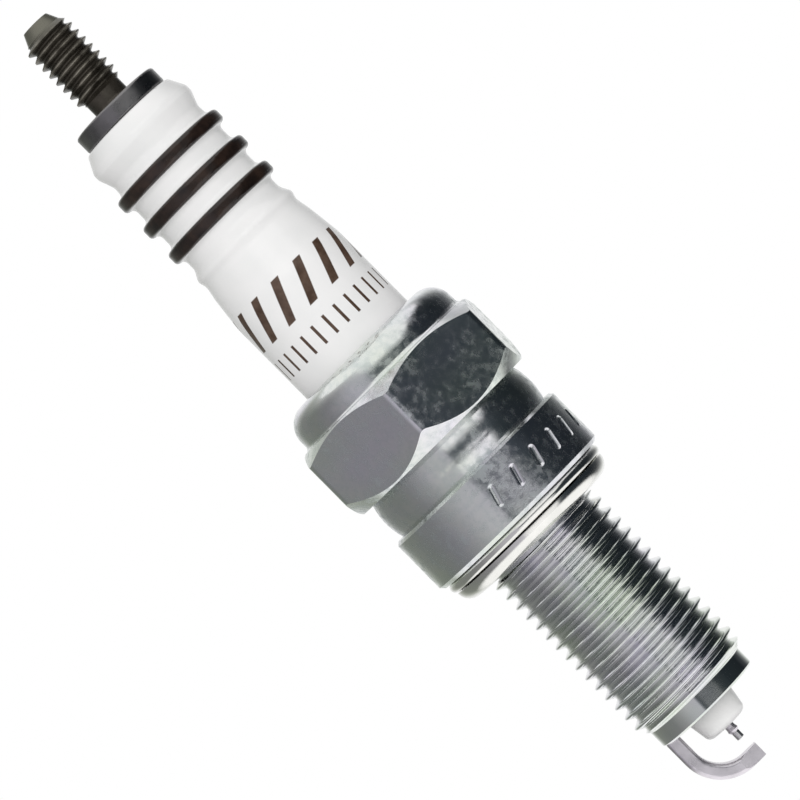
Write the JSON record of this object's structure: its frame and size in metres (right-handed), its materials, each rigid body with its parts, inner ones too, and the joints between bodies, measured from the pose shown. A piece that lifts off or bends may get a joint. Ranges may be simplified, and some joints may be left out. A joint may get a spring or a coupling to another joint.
{
  "type": "spark plug",
  "caption": "Long-reach resistor spark plug: bare threaded terminal, ribbed ceramic insulator, hexagonal plated shell, captive folded gasket, fine-wire centre electrode and bent ground strap.",
  "frame": {"origin": "centre of the gasket's underside, the face that seats on the cylinder head", "axes": "+Z along the plug's axis towards the terminal; the ground electrode is welded on the -X side of the shell's end; one corner of the hexagon points 4.5 degrees from -Y, towards -X"},
  "size_m": [0.0166, 0.0182, 0.0733],
  "materials": {
    "plated_steel": "polished",
    "alumina": "gloss",
    "dark_steel": "satin",
    "glass_seal": "satin",
    "resistor_mass": "matte",
    "electrode_nickel": "satin",
    "copper": "satin",
    "iridium": "satin",
    "ring_steel": "satin",
    "talc": "matte",
    "gasket_steel": "polished"
  },
  "bodies": {
    "plug": {"metal_shell": "plated_steel", "insulator": "alumina", "terminal_stud": "dark_steel", "upper_glass_seal": "glass_seal", "resistor": "resistor_mass", "lower_glass_seal": "glass_seal", "centre_electrode": "electrode_nickel", "electrode_core": "copper", "iridium_tip": "iridium", "upper_packing_ring": "ring_steel", "talc_packing": "talc", "lower_packing_ring": "ring_steel", "seat_packing": "ring_steel", "ground_electrode": "electrode_nickel"},
    "gasket": {"gasket": "gasket_steel"}
  },
  "joints": [
    {"name": "gasket_spin", "type": "hinge", "parent": "plug", "child": "gasket", "pos_m": [0, 0, 0.001], "axis": [0, 0, 1], "continuous": true}
  ]
}
